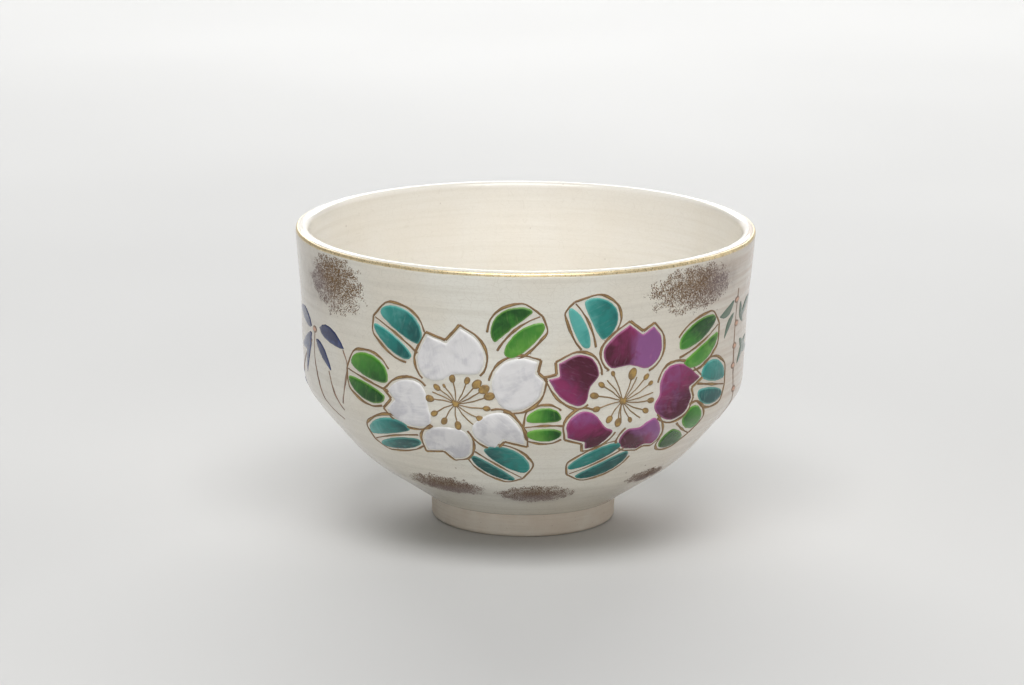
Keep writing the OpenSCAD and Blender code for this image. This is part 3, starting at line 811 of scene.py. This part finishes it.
def dusted(name, thickest, stain, brightness, count):
    """A cloud of tiny closed mounds of gold, thick in its heart and strewn thinly at its edge."""
    chance = random.Random(name)
    middle, half = cloud_box(name)
    flat, lift, faces, tone, cool = [], [], [], [], []
    ring = np.arange(GRAIN_SIDES) * TURN / GRAIN_SIDES
    placed = 0
    while placed < count:
        part = np.array([chance.uniform(-1.3, 1.3), chance.uniform(-1.3, 1.3)])
        from_heart = math.hypot(*(part - thickest))
        clump = noise.noise(Vector((part[0] * half[0] * 450, part[1] * half[1] * 450, len(name))))
        thinning = 0.75 * from_heart + 1.3 * max(0, math.hypot(*part) - 0.8)
        if chance.random() > 1.05 - thinning + 0.5 * clump:
            continue
        spot = middle + part * half
        size = (0.11 + 0.08 * chance.random() + 0.1 * chance.random() ** 4) * MM
        turn = chance.random() * TURN
        radii = size * (0.8 + 0.4 * np.array([chance.random() for _ in ring]))
        rim = spot + np.stack([radii * np.cos(ring + turn), radii * np.sin(ring + turn)], 1)
        first = len(flat)
        flat.extend([*rim, spot])
        lift.extend([-0.015 * MM] * GRAIN_SIDES + [(0.03 + 0.03 * chance.random()) * MM])
        faces.extend((first + k, first + (k + 1) % GRAIN_SIDES, first + GRAIN_SIDES)
                     for k in range(GRAIN_SIDES))
        faces.append(tuple(first + k for k in reversed(range(GRAIN_SIDES))))
        tone.extend([brightness * chance.random() ** 1.5] * (GRAIN_SIDES + 1))
        nearer_stain = from_heart - math.hypot(*(part - stain))
        cool.extend([float(np.clip(0.35 + nearer_stain + 0.5 * chance.random(), 0, 1))] * (GRAIN_SIDES + 1))
        placed += 1
    obj = finish_piece(name + "_fired", rolled(np.array(flat), lift), faces, dust_gold, name, smooth=False)
    set_values(obj, "tone", tone)
    set_values(obj, "cool", cool)


for name, placed_as in CLOUDS.items():
    dusted(name, *placed_as)


# Where the fire blushed the pot, in degrees round from the front, and how strongly
BLUSHES = ((82, 0.8), (-96, 0.4))
BLUSH_SPREAD = 0.5


def haze_over(obj, strength):
    """Stains the glaze in and beside the clouds, where the finest gold sank in, and warms it where the
    fire blushed it on the pot's two sides."""
    points = np.array([tuple(v.co) for v in obj.data.vertices])
    turn = np.arctan2(points[:, 0], -points[:, 1])
    along = turn * GIRTH_R
    up = np.interp(points[:, 2], wall[:, 1], wall_s)
    total = np.zeros(len(points))
    for name, (thickest, stain, *_) in CLOUDS.items():
        middle, half = cloud_box(name)
        for place, reach, amount in ((thickest, 0.6, 0.55), (stain, 0.7, 0.8)):
            spot = middle + np.array(place) * half
            away = np.hypot((along - spot[0]) / (reach * half[0]), (up - spot[1]) / (reach * half[1]))
            total += amount * np.exp(-away ** 2)
    set_values(obj, "haze", np.clip(total, 0, 1) * strength)
    blush = np.zeros(len(points))
    for at_deg, amount in BLUSHES:
        away = np.angle(np.exp(1j * (turn - math.radians(at_deg))))
        blush += amount * np.exp(-(away / BLUSH_SPREAD) ** 2)
    set_values(obj, "blush", blush)


haze_over(outer_piece, 0.8)
for stain in ("haze", "blush"):
    set_values(inner_piece, stain, np.zeros(len(inner_piece.data.vertices)))

# ---------------------------------------------------------------- floor, light and camera


FLOOR_FRONT = -1.6
FLOOR_BACK = 0.8
FLOOR_BEND_R = 0.9
FLOOR_TOP = 2.6
FLOOR_SIDE = 3.2


def sweep_floor():
    """A pale floor that curves up behind the bowl."""
    bend = [(FLOOR_BACK + FLOOR_BEND_R * math.sin(a), FLOOR_BEND_R * (1 - math.cos(a)))
            for a in np.linspace(0.05, math.pi / 2, 24)]
    run = [(FLOOR_FRONT, 0.0), (FLOOR_BACK, 0.0), *bend, (FLOOR_BACK + FLOOR_BEND_R, FLOOR_TOP)]
    points = [(x, y, z) for y, z in run for x in (-FLOOR_SIDE, FLOOR_SIDE)]
    faces = [(2 * k, 2 * k + 1, 2 * k + 3, 2 * k + 2) for k in range(len(run) - 1)]
    mesh = bpy.data.meshes.new("pale_floor")
    mesh.from_pydata(points, [], faces)
    mesh.shade_smooth()
    mesh.materials.append(floor_finish())
    obj = bpy.data.objects.new("pale_floor", mesh)
    bpy.context.scene.collection.objects.link(obj)


def soft_light(name, place, target, size, power, colour):
    """A rectangular lamp that faces a target, its size in metres and its power in watts."""
    lamp = bpy.data.lights.new(name, "AREA")
    lamp.shape = "RECTANGLE"
    lamp.size, lamp.size_y = size
    lamp.energy = power
    lamp.color = colour
    obj = bpy.data.objects.new(name, lamp)
    bpy.context.scene.collection.objects.link(obj)
    obj.location = place
    obj.rotation_euler = (Vector(target) - Vector(place)).to_track_quat("-Z", "Y").to_euler()


sweep_floor()
centre = (0, 0, TOP * 0.6)
soft_light("window_behind", (0.0, 1.35, 0.8), centre, (1.5, 0.7), 17.5, (1.0, 1.0, 1.0))
soft_light("window_right", (1.25, 0.45, 0.55), centre, (0.8, 1.0), 2, (1.0, 0.97, 0.93))
soft_light("overhead", (0.0, -0.6, 1.5), centre, (1.3, 0.9), 20, (1.0, 0.99, 0.98))
soft_light("front_fill", (0.1, -1.5, 0.5), centre, (1.2, 0.5), 4, (1.0, 0.98, 0.95))

world = bpy.data.worlds.new("soft_room")
world.use_nodes = True
world.node_tree.nodes["Background"].inputs["Color"].default_value = (0.94, 0.97, 1.0, 1)
world.node_tree.nodes["Background"].inputs["Strength"].default_value = 0.12
bpy.context.scene.world = world
bpy.context.scene.view_settings.view_transform = "Standard"

CAMERA_ABOVE = math.radians(13.41)
CAMERA_AWAY = 1.0
CAMERA_ASIDE = -3.3 * MM
CAMERA_AIM = 0.591 * TOP
CAMERA_ROLL = math.radians(0.5)
camera = bpy.data.cameras.new("camera")
camera.sensor_width = 36
camera.lens = 133.8
camera_obj = bpy.data.objects.new("camera", camera)
bpy.context.scene.collection.objects.link(camera_obj)
camera_obj.location = (CAMERA_ASIDE, -CAMERA_AWAY * math.cos(CAMERA_ABOVE),
                       CAMERA_AIM + CAMERA_AWAY * math.sin(CAMERA_ABOVE))
tilt = Matrix.Rotation(math.pi / 2 - CAMERA_ABOVE, 3, "X")
camera_obj.rotation_euler = (tilt @ Matrix.Rotation(CAMERA_ROLL, 3, "Z")).to_euler()
bpy.context.scene.camera = camera_obj
